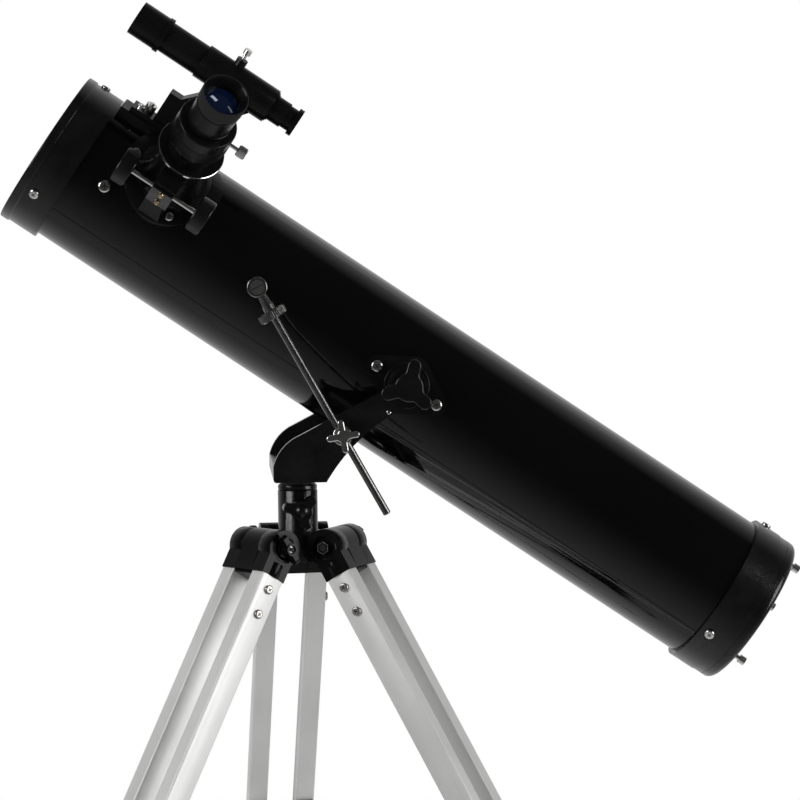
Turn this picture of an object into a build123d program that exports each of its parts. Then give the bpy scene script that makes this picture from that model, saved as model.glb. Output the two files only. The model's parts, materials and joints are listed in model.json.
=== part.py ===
"""Newtonian reflector telescope on a yoke mount and a three-legged aluminium tripod, in millimetres.

The origin is on the floor, on the vertical axis that the mount turns about. +Z is up, +X is the side
that the back of the tube points to, and the tube's cross axis runs along Y.
"""

from build123d import *
from math import asin, atan2, cos, degrees, hypot, pi, radians, sin
import os

# Clearances between pieces.
FIT = 0.1            # fixed pieces that slip into each other
RUN = 0.05           # shafts in their holes, on the radius
GAP = 0.3            # faces of pieces that move past each other
SLIDE = 0.5          # the lower leg in its clamp

# Optical tube. Stations run along the tube from the front rim.
ALTITUDE = 34.3
TUBE_LENGTH = 670.0
TUBE_R = 59.5
TUBE_WALL = 1.2
RING_R = TUBE_R + 3.7
LIP_R = RING_R + 1.0
LIP_LENGTH = 8.0
MOUTH_R = TUBE_R - 3.0
FRONT_RING_END = 32.0
REAR_RING_START = TUBE_LENGTH - 37.0
REAR_RING_STEP = TUBE_LENGTH - 16.0
REAR_RING_END = TUBE_LENGTH - 9.0
REAR_STEP_R = TUBE_R + 3.2
TUBE_SEAT = TUBE_LENGTH - 20.0
CELL_SPIGOT = 7.0
MIRROR_R = 50.0
MIRROR_THICK = 12.0
MIRROR_FRONT = TUBE_LENGTH - 42.0
CARRIER_THICK = 5.0
CARRIER_R = 54.0
COLLIMATE_R = 50.0
COLLIMATE_FIRST = 15.0
COLLIMATE_OUT = 10.0
COLLIMATE_SCREW_R = 2.0
RING_SCREW = (4.0, 2.4, 1.8, 6.0)   # head radius and height, shank radius and length
VANE_SCREW = (5.0, 3.0, 2.5, 7.0)
FLANGE_SCREW = (3.8, 2.4, 1.6, 7.0)

# Spider and flat mirror.
SPIDER_STATION = 57.0
SPIDER_FIRST = 90.0
VANE = (1.0, 16.0)
SPIDER_HUB_R = 10.0
HOLDER_R = 12.0
FLAT_THICK = 3.0

# Focuser, in its own frame: z runs out from the tube's axis, x along the tube.
# Its heights are measured from the tube's skin.
FOCUSER_STATION = 97.0
FOCUSER_ANGLE = 53.0
FLANGE_R = 40.0
FLANGE_THICK = 3.4
FLANGE_SCREWS = (-66.0, 54.0, 186.0)
FLANGE_SCREW_AT = 34.0
SPOT_FACE = 0.5                   # depth of the flat that each flange screw sits on
FOCUSER_TOP = TUBE_R + 42.0
DRAW_R = 19.0
DRAW_BORE_R = 16.6
DRAW_LOW = TUBE_R - 13.5
DRAW_HIGH = TUBE_R + 62.5
RIM_R = DRAW_R + 7.0
NECK_R = DRAW_R + 4.0
BELL_FOOT_R = DRAW_R + 11.0
RACK_PITCH_Y = DRAW_R + 2.5
TOOTH = 1.0                       # module of the rack and pinion
PINION_TEETH = 16
PINION_Z = TUBE_R + 15.5
SHAFT_R = 2.0
HOUSING = (18.0, 32.0)            # along the tube, and out from it
HOUSING_OUT = DRAW_R + 19.5
COVER_THICK = 2.5
COVER_Z = (-4.0, 13.0)            # from the pinion's axis
KNOB_R = 14.5
KNOB_THICK = 12.0
KNOB_INNER = 28.0
COLLAR_R = DRAW_R + 4.0
COLLAR_LOW = TUBE_R + 55.5
COLLAR_HIGH = COLLAR_LOW + 25.0
BARREL_R = 15.85
EYEPIECE_R = 17.3
EYEPIECE_TOP = COLLAR_HIGH + 27.0
LENS_R = 13.2
DOME_R = 48.0
CUP_R = 18.2
CUP_TOP = EYEPIECE_TOP + 11.0
SET_SCREW_Z = COLLAR_LOW + 16.0
SET_SCREW_R = 1.5
COVER_SCREW_R = 1.2

# Finder scope, in its own frame: z runs out from the tube's axis.
FINDER_ANGLE = 20.0
FINDER_AXIS = TUBE_R + 70.5
FINDER_R = 12.5
FINDER_WALL = 1.2
FINDER_FRONT = 6.0
FINDER_BACK = 154.0
SLEEVE = (66.0, 130.0)
SLEEVE_R = FINDER_R + 1.4
SHOE = (FRONT_RING_END + 1.0, 84.0)
SHOE_HALF = 12.0
SHOE_TOP = TUBE_R + 7.0
BRACKET_FOOT = (40.0, 82.0)
ADJUST_STATION = 92.0
ADJUST_SCREW_R = 1.5
ADJUST_BOSS = (4.5, 6.5)          # radius, and height above the finder's tube
FINDER_STUD_R = 1.7
FINDER_STUDS = ((52.5, 3.5), (46.5, -5.5))
FINDER_NUTS = ((4.5, 6.0), (3.2, 3.5))

# Yoke. Places are measured from the cross axis, where the tube swings.
TRUNNION_FACE = TUBE_R + 7.0
ARM_THICK = 8.0
YOKE_OUTER = TRUNNION_FACE + 0.5 + ARM_THICK
ARM_END_R = 15.0
AXIS_SETBACK = 83.6               # from the vertical axis to the cross axis
YOKE_DROP = 72.9                  # from the cross axis to the underside of the yoke
YOKE_HALF = 20.4                  # half of the yoke's foot, along X
BASE_THICK = 7.0
BACK_WALL = (4.0, 24.0, 13.0)      # thickness, and how far it follows the arm's back edge
FOOT_CORNER_R = 2.5
TRUNNION_R = 8.0
PLATE_THICK = 3.9
PLATE_HALF = (36.0, 24.0)
PLATE_SCREW = 27.5
PLATE_SCREW_SIZE = (4.6, 2.8, 2.2, 8.0)
ALT_BOLT_R = 4.0
ALT_KNOB_R = 22.0
ALT_KNOB_THICK = 19.0
SPINDLE_R = 9.0

# Fine height rod, beside the tube.
ROD_EYE_AT = 138.5                # along the tube from the cross axis, towards the front
ROD_PLANE = YOKE_OUTER + 7.0
ROD_STUD_R = 3.0
ROD_R = 3.0
ROD_LENGTH = 200.8
CLAMP_FROM_AXIS = (-50.9, -36.6)
EYE_R = 8.0
EYE_BORE_R = 4.5
NECK_END = 16.0
NUT_FROM_EYE = 20.3
NUT_SIZE = (10.8, 7.2)
CLAMP_R = 7.5
STAR_R = 12.8
STAR_TIP_R = 2.5
STAR_TURN = 70.0
STAR_SCREW_R = 2.5

# Tripod. Each leg is modelled hanging straight down from its hinge pin.
LEAN = 29.6
FIRST_LEG = 95.0
LEG_SPAN = 850.0                  # hinge pin to the middle of the sole
HINGE_RADIUS = 33.0
PIVOT_ABOVE_HINGE = 127.0
HUB_BELOW = 13.5
HUB_ABOVE = 10.8
HUB_R = 17.0
COLUMN_R = 15.65
COLUMN_TOP = 42.8                 # above the hinge pins
WASHER_THICK = 4.8
AZ_KNOB_Z = 28.0
AZ_KNOB_R = 15.0
AZ_SCREW_R = 3.0
LUG_HALF = 11.0
LUG_R = 12.8
CHEEK_R = 14.5
LEG_HALF = 27.0                   # half the leg's width
RAIL = (21.0, 15.0)
RAIL_WALL = 1.3
RAIL_CROWN = 0.8                  # how far the outer face swells, and its radius
RAIL_CROWN_R = 70.0
RAIL_LENGTH = 560.0
RAIL_TOP = 24.5
PLUG_END = 70.0
POCKET_R = 9.0
POCKET_DEEP = 3.0
BOLT_R = 3.0
WING_TURN = -28.0
RAIL_SCREWS = (35.0, 56.0)
RAIL_SCREW = (3.7, 2.2, 1.6, 6.0)
LOWER = (16.0, 22.0)
LOWER_TOP = 430.0
FOOT_LENGTH = 26.0
CLAMP_BLOCK = (RAIL[0] + 6.0, 2 * LEG_HALF + 6.0, 34.0)
CLAMP_SOCKET = 14.0
LOCK_SCREW_R = 2.5
CLIP = (2.0, 12.0)                # thickness, and half its height on the leg

# Spreader: each brace is as long as its leg pin is far from the leg's hinge.
BRACE_DOWN = 270.0
BRACE_IN = 18.0
BRACE_EYE_R = 5.0
BRACE_HALF = 5.0
PIN_R = 2.5
PIN_HALF = 9.5
PIN_HOLD = 0.01                   # the pins are tight in the clips and the tray
TRAY_THICK = 3.5
TRAY_DROP = 10.0
TRAY_DISC_R = 44.0
TRAY_HOLE_R = BARREL_R + 0.25
TRAY_HOLE_AT = 70.0
TRAY_LOBE_R = 24.0

HINGE_Z = LEG_SPAN * cos(radians(LEAN))
PIVOT = (AXIS_SETBACK, 0.0, HINGE_Z + PIVOT_ABOVE_HINGE)
MID = TUBE_LENGTH / 2
TUBE = Location(PIVOT, (0, ALTITUDE, 0))
STATION = TUBE * Location((-MID, 0, 0))
FOCUSER = STATION * Location((FOCUSER_STATION, 0, 0), (FOCUSER_ANGLE, 0, 0))
FINDER = STATION * Location((0, 0, 0), (FINDER_ANGLE, 0, 0))
PINION_R = TOOTH * PINION_TEETH / 2
PINION_Y = -(RACK_PITCH_Y + PINION_R)
LEGS = {"a": FIRST_LEG, "b": FIRST_LEG + 120, "c": FIRST_LEG + 240}
BRACE_LENGTH = hypot(BRACE_DOWN, BRACE_IN)
BRACE_TILT = LEAN - degrees(atan2(BRACE_IN, BRACE_DOWN))
BRACE_FOOT_Z = HINGE_Z - 2 * BRACE_LENGTH * cos(radians(BRACE_TILT))


def along_x(radius, start, end, y=0.0, z=0.0):
    return Pos((start + end) / 2, y, z) * Rot(0, 90, 0) * Cylinder(radius, end - start)


def along_y(radius, start, end, x=0.0, z=0.0):
    return Pos(x, (start + end) / 2, z) * Rot(90, 0, 0) * Cylinder(radius, end - start)


def along_z(radius, start, end, x=0.0, y=0.0):
    return Pos(x, y, (start + end) / 2) * Cylinder(radius, end - start)


def block(x, y, z):
    """A box between two values on each axis."""
    middle = Pos((x[0] + x[1]) / 2, (y[0] + y[1]) / 2, (z[0] + z[1]) / 2)
    return middle * Box(x[1] - x[0], y[1] - y[0], z[1] - z[0])


def around(angle):
    """A turn about the tube's axis, so that z points out of the tube at that angle."""
    return Rot(angle, 0, 0)


def group(*pieces):
    """Separate solids in one node."""
    return Compound([solid for piece in pieces for solid in piece.solids()])


def pan_screw(head_r, head_h, shank_r, shank):
    """A pan-head screw standing on z = 0, its shank below."""
    head = along_z(head_r, 0, head_h)
    head = fillet(head.edges().group_by(Axis.Z)[-1], head_h * 0.6)
    return head + along_z(shank_r, -shank, 0.01)


def save(name, shape):
    export_step(shape, f"parts/{name}.step")


def tube_screw_places():
    """Station, angle, seat radius and size of each screw round the tube."""
    places = []
    for turn in (3, 123, 243):
        places.append((15.0, turn, RING_R, RING_SCREW))
        places.append((REAR_RING_START + 8, turn - 3, RING_R, RING_SCREW))
    for turn in (0, 120, 240):
        places.append((SPIDER_STATION, SPIDER_FIRST + turn, TUBE_R, VANE_SCREW))
    for side in (90, 270):
        for end in (-PLATE_SCREW, PLATE_SCREW):
            seat = TUBE_R + FIT + PLATE_THICK
            places.append((MID + end, side, seat, PLATE_SCREW_SIZE))
    return places


def focuser_screw_places():
    """Angle about the tube and station of each screw in the focuser's flange."""
    places = []
    for turn in FLANGE_SCREWS:
        across = degrees(asin(FLANGE_SCREW_AT * sin(radians(turn)) / (TUBE_R + FLANGE_THICK)))
        station = FOCUSER_STATION + FLANGE_SCREW_AT * cos(radians(turn))
        places.append((FOCUSER_ANGLE - across, station))
    return places


def screw_holes(shape):
    """Cut the clearance hole of every screw in the tube's wall."""
    for station, angle, seat, (head_r, head_h, shank_r, shank) in tube_screw_places():
        hole = along_z(shank_r + FIT, seat - shank - 5, seat + 5)
        shape -= Pos(station, 0, 0) * around(angle) * hole
    for angle, station in focuser_screw_places():
        hole = along_z(FLANGE_SCREW[2] + FIT, TUBE_R - 6, TUBE_R + 8)
        shape -= Pos(station, 0, 0) * around(angle) * hole
    return shape


def tube_shell():
    shell = along_x(TUBE_R, LIP_LENGTH, TUBE_SEAT)
    shell -= along_x(TUBE_R - TUBE_WALL, 0, TUBE_LENGTH)
    opening = along_z(DRAW_R + 5, 20, TUBE_R + 10)
    shell -= Pos(FOCUSER_STATION, 0, 0) * around(FOCUSER_ANGLE) * opening
    shell -= Pos(MID - ROD_EYE_AT, 0, 0) * around(90) * along_z(ROD_STUD_R + FIT, 40, TUBE_R + 5)
    return STATION * screw_holes(shell)


def front_ring():
    ring = along_x(RING_R, LIP_LENGTH - 1, FRONT_RING_END)
    lip = along_x(LIP_R, 0, LIP_LENGTH)
    lip = fillet(lip.edges(), 1.2)
    ring += lip
    ring -= along_x(MOUTH_R, -1, LIP_LENGTH)
    ring -= along_x(TUBE_R + FIT, LIP_LENGTH, FRONT_RING_END + 1)
    return STATION * screw_holes(ring)


def rear_ring():
    ring = along_x(RING_R, REAR_RING_START, REAR_RING_STEP)
    ring += along_x(REAR_STEP_R, REAR_RING_STEP, REAR_RING_END)
    ring -= along_x(TUBE_R + FIT, REAR_RING_START - 1, TUBE_SEAT)
    ring -= along_x(TUBE_R - 2, TUBE_SEAT - 1, REAR_RING_END + 1)
    return STATION * screw_holes(ring)


def collimation_places(first):
    return [around(first + turn) * Pos(0, 0, COLLIMATE_R) for turn in (0, 120, 240)]


def mirror_cell():
    """The rear cover of the tube, and the carrier disc that holds the mirror in front of it."""
    start = REAR_RING_END + GAP
    cover = along_x(REAR_STEP_R, start, TUBE_LENGTH)
    cover = fillet(cover.edges().group_by(Axis.X)[-1], 5)
    spigot = along_x(TUBE_R - 2 - FIT, start - CELL_SPIGOT, start + 1)
    spigot -= along_x(TUBE_R - 5, start - CELL_SPIGOT - 1, start + 1)
    cover += spigot
    back = MIRROR_FRONT + MIRROR_THICK
    carrier = along_x(CARRIER_R, back, back + CARRIER_THICK)
    for turn in (45, 165, 285):
        clip = block((MIRROR_FRONT - 2, back + 1), (-5, 5), (MIRROR_R + FIT, CARRIER_R))
        clip += block((MIRROR_FRONT - 2, MIRROR_FRONT - FIT), (-5, 5), (MIRROR_R - 4, CARRIER_R))
        carrier += around(turn) * clip
    for place in collimation_places(COLLIMATE_FIRST):
        cover -= place * along_x(COLLIMATE_SCREW_R + FIT, start - 1, TUBE_LENGTH + 1)
        carrier -= place * along_x(COLLIMATE_SCREW_R + FIT, back - 1, back + CARRIER_THICK + 1)
    for place in collimation_places(COLLIMATE_FIRST + 60):
        cover -= place * along_x(COLLIMATE_SCREW_R + FIT, start - 1, TUBE_LENGTH + 1)
    return STATION * group(cover, carrier)


def primary_mirror():
    disc = along_x(MIRROR_R, MIRROR_FRONT, MIRROR_FRONT + MIRROR_THICK - FIT)
    return STATION * disc


def collimation_screws():
    """Three pull screws with their springs, and three lock screws that bear on the carrier."""
    back = MIRROR_FRONT + MIRROR_THICK
    seat = back + CARRIER_THICK
    cover = REAR_RING_END + GAP
    pieces = []
    for place in collimation_places(COLLIMATE_FIRST):
        screw = along_x(COLLIMATE_SCREW_R, back + 1, TUBE_LENGTH + COLLIMATE_OUT)
        screw += along_x(3.5, TUBE_LENGTH + COLLIMATE_OUT - 5, TUBE_LENGTH + COLLIMATE_OUT)
        spring = along_x(4.5, seat, cover) - along_x(3.5, seat - 1, cover + 1)
        pieces += [place * screw, place * spring]
    for place in collimation_places(COLLIMATE_FIRST + 60):
        screw = along_x(COLLIMATE_SCREW_R, seat + FIT, TUBE_LENGTH)
        screw += along_x(3.5, TUBE_LENGTH, TUBE_LENGTH + 3)
        pieces.append(place * screw)
    return STATION * group(*pieces)


def flat_slab(low, high):
    """A slab square to the line halfway between the tube's axis and the focuser's."""
    return Rot(0, 45, 0) * block((-60, 60), (-30, 30), (low, high))


def spider():
    """Hub, three vanes with threaded ends, and the slanted holder of the flat mirror."""
    start = SPIDER_STATION - VANE[1] / 2
    hub = along_x(SPIDER_HUB_R, start - 2, FOCUSER_STATION - 27)
    reach = TUBE_R - TUBE_WALL - 0.2
    for turn in (0, 120, 240):
        arm = block((start, start + VANE[1]), (-VANE[0] / 2, VANE[0] / 2), (0, reach - 3))
        arm += along_z(VANE_SCREW[2] + 1.5, reach - 8, reach, x=SPIDER_STATION)
        arm -= along_z(VANE_SCREW[2] + FIT, reach - 7, reach + 1, x=SPIDER_STATION)
        hub += around(SPIDER_FIRST + turn) * arm
    holder = along_x(HOLDER_R, -27 + FIT, 20) - flat_slab(-FLAT_THICK - FIT, 60)
    return group(STATION * hub, FOCUSER * holder)


def secondary_mirror():
    return FOCUSER * (along_x(HOLDER_R, -30, 30) & flat_slab(-FLAT_THICK, 0))


def diamond():
    """Outline of the plate that carries the cross axis, screws at its ends."""
    ends = [Pos(side * PLATE_SCREW) * Circle(PLATE_HALF[0] - PLATE_SCREW) for side in (-1, 1)]
    waist = [Pos(0, side * (PLATE_HALF[1] - 12)) * Circle(12) for side in (-1, 1)]
    return make_hull((ends[0] + ends[1] + waist[0] + waist[1]).edges())


def trunnion_plates():
    inner = TUBE_R + FIT
    skin = along_x(inner + PLATE_THICK, -60, 60) - along_x(inner, -61, 61)
    pieces = []
    for side in (-1, 1):
        prism = Pos(0, side * TUBE_R, 0) * Rot(90, 0, 0) * extrude(diamond(), TUBE_R - 1, both=True)
        plate = skin & prism
        boss = along_y(18, TUBE_R - 4, TRUNNION_FACE)
        boss += along_y(TRUNNION_R, TUBE_R, YOKE_OUTER - 0.5)
        boss = fillet(boss.edges().filter_by(GeomType.CIRCLE).sort_by(Axis.Y)[1], 1)
        boss -= along_x(inner, -61, 61)
        boss = boss if side > 0 else Rot(0, 0, 180) * boss
        plate += boss
        low, high = sorted((side * (TUBE_R - 9), side * (YOKE_OUTER + 9)))
        plate -= along_y(ALT_BOLT_R + FIT, low, high)
        for end in (-PLATE_SCREW, PLATE_SCREW):
            plate -= along_y(PLATE_SCREW_SIZE[2] + FIT, low, high, x=end)
        pieces.append(plate)
    return TUBE * group(*pieces)


def tube_screws():
    """Every visible screw of the tube, and the shouldered stud that the height rod swings on."""
    pieces = []
    for station, angle, seat, size in tube_screw_places():
        screw = pan_screw(*size)
        pieces.append(Pos(station, 0, 0) * around(angle) * Pos(0, 0, seat) * screw)
    for angle, station in focuser_screw_places():
        screw = pan_screw(*FLANGE_SCREW)
        seat = TUBE_R + FIT + FLANGE_THICK - SPOT_FACE
        pieces.append(Pos(station, 0, 0) * around(angle) * Pos(0, 0, seat) * screw)
    stud = along_z(EYE_BORE_R - RUN, TUBE_R + 3, ROD_PLANE + 4)
    stud += along_z(ROD_STUD_R, TUBE_R - 6, ROD_PLANE)
    stud += along_z(7, TUBE_R, TUBE_R + 4)
    stud += along_z(5.6, ROD_PLANE + 3.5 + GAP, ROD_PLANE + 5.5)
    pieces.append(Pos(MID - ROD_EYE_AT, 0, 0) * around(90) * stud)
    return STATION * group(*pieces)


def focuser_base():
    """Saddle, bell and chrome-rimmed top, with the housing of the pinion on its lower side."""
    inner = TUBE_R + FIT
    saddle = along_x(inner + FLANGE_THICK, -50, 50) & along_z(FLANGE_R, 20, FOCUSER_TOP)
    foot = TUBE_R + 2.5
    with BuildPart() as bell:
        with BuildSketch(Plane.XZ):
            with BuildLine():
                Polyline((0, 30), (BELL_FOOT_R, 30), (BELL_FOOT_R, foot))
                Spline((BELL_FOOT_R, foot), (NECK_R + 1, foot + 12), (NECK_R, foot + 26),
                       tangents=((-0.9, 1), (0, 1)))
                Polyline((NECK_R, foot + 26), (NECK_R, FOCUSER_TOP - 5.5), (RIM_R, FOCUSER_TOP - 3.5),
                         (RIM_R, FOCUSER_TOP), (0, FOCUSER_TOP), (0, 30))
            make_face()
        revolve(axis=Axis.Z)
    base = saddle + bell.part
    half = HOUSING[0] / 2
    low = PINION_Z - HOUSING[1] / 2 + 1
    base += block((-half, half), (-HOUSING_OUT, 0), (low - 12, low + HOUSING[1]))
    base -= along_x(inner, -60, 60)
    base -= along_z(DRAW_R + RUN + 1.2, 20, FOCUSER_TOP + 1)
    base += along_z(NECK_R - 0.5, FOCUSER_TOP - 14, FOCUSER_TOP)
    base -= along_z(DRAW_R + RUN, 20, FOCUSER_TOP + 1)
    base -= block((-3.8, 3.8), (-RACK_PITCH_Y - TOOTH, 0), (20, FOCUSER_TOP + 1))
    base -= along_x(PINION_R + TOOTH + 0.6, -5.5, 5.5, y=PINION_Y, z=PINION_Z)
    base -= along_x(SHAFT_R + RUN, -60, 60, y=PINION_Y, z=PINION_Z)
    for angle, station in focuser_screw_places():
        hole = around(angle - FOCUSER_ANGLE) * along_z(FLANGE_SCREW[2] + FIT, TUBE_R - 6, TUBE_R + 8)
        seat = inner + FLANGE_THICK - SPOT_FACE
        head = around(angle - FOCUSER_ANGLE) * along_z(FLANGE_SCREW[0] + 0.4, seat, inner + 20)
        place = Pos(station - FOCUSER_STATION, 0, 0)
        base = base - place * hole - place * head
    return FOCUSER * base


def pinion_cover():
    """Grey plate over the pinion, with its two brass screws."""
    half = HOUSING[0] / 2
    back = -HOUSING_OUT - COVER_THICK
    low = PINION_Z + COVER_Z[0]
    high = PINION_Z + COVER_Z[1]
    plate = block((-half, half), (back, -HOUSING_OUT), (low, high))
    screws = []
    for height in (low + 3.4, high - 3.4):
        screw = pan_screw(2.6, 1.6, COVER_SCREW_R, COVER_THICK - 0.5)
        screw = Pos(0, back, height) * Rot(90, 0, 0) * screw
        plate -= along_y(COVER_SCREW_R + FIT, back - 1, -HOUSING_OUT - 0.4, z=height)
        screws.append(screw)
    return FOCUSER * group(plate, *screws)


def drawtube():
    """Tube that carries the eyepiece, with a toothed rack along its lower side."""
    tube = along_z(DRAW_R, DRAW_LOW, DRAW_HIGH) - along_z(DRAW_BORE_R, DRAW_LOW - 1, DRAW_HIGH + 1)
    back = -RACK_PITCH_Y + 1.3 * TOOTH
    rack = block((-3, 3), (back, -DRAW_R + 1.5), (DRAW_LOW, COLLAR_LOW - FIT))
    pitch = pi * TOOTH
    first = -int((PINION_Z - DRAW_LOW) / pitch)
    last = int((COLLAR_LOW - PINION_Z) / pitch)
    for count in range(first, last):
        height = PINION_Z + (count + 0.5) * pitch
        with BuildPart() as tooth:
            with BuildSketch(Plane.YZ):
                root, tip = -RACK_PITCH_Y + 1.4 * TOOTH, -RACK_PITCH_Y - 0.7 * TOOTH
                with BuildLine():
                    Polyline((root, height - 1.05), (tip, height - 0.4), (tip, height + 0.4),
                             (root, height + 1.05), close=True)
                make_face()
            extrude(amount=3, both=True)
        rack += tooth.part
    return FOCUSER * (tube + rack)


def eyepiece_holder():
    collar = along_z(COLLAR_R, COLLAR_LOW, COLLAR_HIGH)
    collar = fillet(collar.edges(), 1.5)
    collar -= along_z(DRAW_R + FIT, COLLAR_LOW - 1, DRAW_HIGH + FIT)
    collar -= along_z(BARREL_R + FIT, COLLAR_LOW, COLLAR_HIGH + 1)
    collar -= along_x(SET_SCREW_R + FIT, 0, COLLAR_R + 5, z=SET_SCREW_Z)
    return FOCUSER * collar


def set_screw():
    screw = along_x(SET_SCREW_R, BARREL_R + GAP, COLLAR_R + 7, z=SET_SCREW_Z)
    head = along_x(4.4, COLLAR_R + 6.5, COLLAR_R + 14, z=SET_SCREW_Z)
    screw += chamfer(head.edges(), 0.6)
    return FOCUSER * screw


def pinion_shaft():
    """Shaft with the pinion that drives the rack."""
    shaft = along_x(SHAFT_R, -KNOB_INNER - KNOB_THICK + 3, KNOB_INNER + KNOB_THICK - 3)
    gear = along_x(PINION_R - 1.15 * TOOTH, -4.5, 4.5)
    for count in range(PINION_TEETH):
        with BuildPart() as tooth:
            with BuildSketch(Plane.YZ):
                root, tip = PINION_R - 1.6 * TOOTH, PINION_R + 0.7 * TOOTH
                with BuildLine():
                    Polyline((root, -0.85), (tip, -0.35), (tip, 0.35), (root, 0.85), close=True)
                make_face()
            extrude(amount=4.5, both=True)
        gear += Rot(360 * count / PINION_TEETH, 0, 0) * tooth.part
    return FOCUSER * Pos(0, PINION_Y, PINION_Z) * (shaft + gear)


def focus_knobs():
    pieces = []
    for side in (0, 180):
        knob = along_x(KNOB_R, KNOB_INNER, KNOB_INNER + KNOB_THICK)
        knob = fillet(knob.edges(), 1.2)
        knob -= along_x(SHAFT_R, KNOB_INNER - 1, KNOB_INNER + KNOB_THICK - 3)
        pieces.append(Rot(0, 0, side) * knob)
    return FOCUSER * Pos(0, PINION_Y, PINION_Z) * group(*pieces)


def eyepiece():
    """Chrome barrel, black body and the flared rubber cup around the eye lens."""
    barrel = along_z(BARREL_R, COLLAR_LOW + 8, COLLAR_HIGH + GAP)
    barrel -= along_z(BARREL_R - 1.5, COLLAR_LOW + 7, COLLAR_HIGH + 10)
    body = along_z(EYEPIECE_R, COLLAR_HIGH + GAP, EYEPIECE_TOP)
    body = fillet(body.edges(), 0.8)
    body -= along_z(BARREL_R - 1.5, COLLAR_HIGH - 1, EYEPIECE_TOP - 6)
    body -= along_z(LENS_R, EYEPIECE_TOP - 7, EYEPIECE_TOP + 1)
    with BuildPart() as cup:
        with BuildSketch(Plane.XZ):
            with BuildLine():
                Polyline((LENS_R + 0.2, EYEPIECE_TOP), (EYEPIECE_R, EYEPIECE_TOP), (CUP_R, CUP_TOP - 1))
                Line((CUP_R, CUP_TOP - 1), (CUP_R - 1, CUP_TOP))
                Polyline((CUP_R - 1, CUP_TOP), (16.4, CUP_TOP - 1),
                         (LENS_R + 0.2, EYEPIECE_TOP + 4), (LENS_R + 0.2, EYEPIECE_TOP))
            make_face()
        revolve(axis=Axis.Z)
    return FOCUSER * group(barrel, body, cup.part)


def eyepiece_lens():
    lens = along_z(LENS_R - FIT, EYEPIECE_TOP - 5, EYEPIECE_TOP)
    dome = Pos(0, 0, EYEPIECE_TOP + 2 - DOME_R) * Sphere(DOME_R)
    lens += dome & along_z(LENS_R - 0.5, EYEPIECE_TOP - 1, EYEPIECE_TOP + 4)
    return FOCUSER * lens


def finder_bracket():
    """Shoe screwed to the tube, and the bracket whose long sleeve holds the finder."""
    inner = TUBE_R + FIT
    shoe = block(SHOE, (-SHOE_HALF, SHOE_HALF), (40, SHOE_TOP)) - along_x(inner, 0, 200)
    shoe = fillet(shoe.edges().group_by(Axis.Z)[-1], 1.5)
    foot = block(BRACKET_FOOT, (-9, 9), (SHOE_TOP + FIT, SHOE_TOP + 4))
    with BuildPart() as web:
        with BuildSketch(Plane.XZ):
            with BuildLine():
                Polyline((59, SHOE_TOP + 3), (59, SHOE_TOP + 29.5), (69, SHOE_TOP + 29.5),
                         (88, FINDER_AXIS - FINDER_R - 0.5), (118, FINDER_AXIS - FINDER_R - 0.5),
                         (BRACKET_FOOT[1], SHOE_TOP + 3), close=True)
            make_face()
        extrude(amount=6, both=True)
    sleeve = along_x(SLEEVE_R, SLEEVE[0], SLEEVE[1], z=FINDER_AXIS)
    boss = along_z(ADJUST_BOSS[0], FINDER_R - 4.5, FINDER_R + ADJUST_BOSS[1])
    for turn in (0, 120, 240):
        sleeve += Pos(ADJUST_STATION, 0, FINDER_AXIS) * around(turn) * boss
    bracket = foot + web.part + sleeve
    bracket -= along_x(FINDER_R + FIT, 0, 200, z=FINDER_AXIS)
    hole = along_z(ADJUST_SCREW_R + FIT, FINDER_R - 4.5, FINDER_R + 27.5)
    for turn in (0, 120, 240):
        bracket -= Pos(ADJUST_STATION, 0, FINDER_AXIS) * around(turn) * hole
    turn = around(FOCUSER_ANGLE - FINDER_ANGLE)
    room = Pos(FOCUSER_STATION, 0, 0) * turn * along_z(FLANGE_R + GAP, 40, SHOE_TOP + 13.5)
    shoe -= room
    bracket -= room
    for station, side in FINDER_STUDS:
        hole = along_z(FINDER_STUD_R + FIT, TUBE_R - 9.5, SHOE_TOP + 6, x=station, y=side)
        bracket -= hole
        shoe -= hole
    return FINDER * group(shoe, bracket)


def finder_screws():
    """Three adjusting screws round the finder, and two knurled nuts on the shoe's studs."""
    pieces = []
    for turn in (0, 120, 240):
        head = FINDER_R + ADJUST_BOSS[1] + 5
        screw = along_z(ADJUST_SCREW_R, FINDER_R + FIT, head) + along_z(3.2, head, head + 4)
        pieces.append(Pos(ADJUST_STATION, 0, FINDER_AXIS) * around(turn) * screw)
    for (station, side), (radius, height) in zip(FINDER_STUDS, FINDER_NUTS):
        stud = along_z(FINDER_STUD_R, TUBE_R + 2.5, SHOE_TOP + 4 + height + 1.5, x=station, y=side)
        stud += along_z(radius, SHOE_TOP + 4, SHOE_TOP + 4 + height, x=station, y=side)
        pieces.append(stud)
    return FINDER * group(*pieces)


def finder_tube():
    """Main tube, objective cell and stepped eyepiece of the finder."""
    bore = FINDER_R - FINDER_WALL
    tube = along_x(FINDER_R, 20, SLEEVE[1] + 1) - along_x(bore, 19, SLEEVE[1] + 2)
    cell = along_x(FINDER_R + 1.3, FINDER_FRONT, 30) + along_x(FINDER_R + 2.1, 29, 33)
    cell -= along_x(FINDER_R + FIT, 19, 34)
    cell -= along_x(bore, 0, 20)
    ocular = along_x(10.3, SLEEVE[1] + 1 + FIT, 143) + along_x(9.2, 142, 150)
    ocular += along_x(11.4, 150, FINDER_BACK)
    ocular += along_x(bore - FIT, SLEEVE[1] - 6, SLEEVE[1] + 2)
    ocular -= along_x(6.5, SLEEVE[1] - 7, FINDER_BACK + 1)
    return FINDER * Pos(0, 0, FINDER_AXIS) * group(tube, cell, ocular)


def finder_lenses():
    front = along_x(FINDER_R - FINDER_WALL - FIT, 12, 16)
    back = along_x(6.5 - FIT, 148, 151)
    return FINDER * Pos(0, 0, FINDER_AXIS) * group(front, back)


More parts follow.
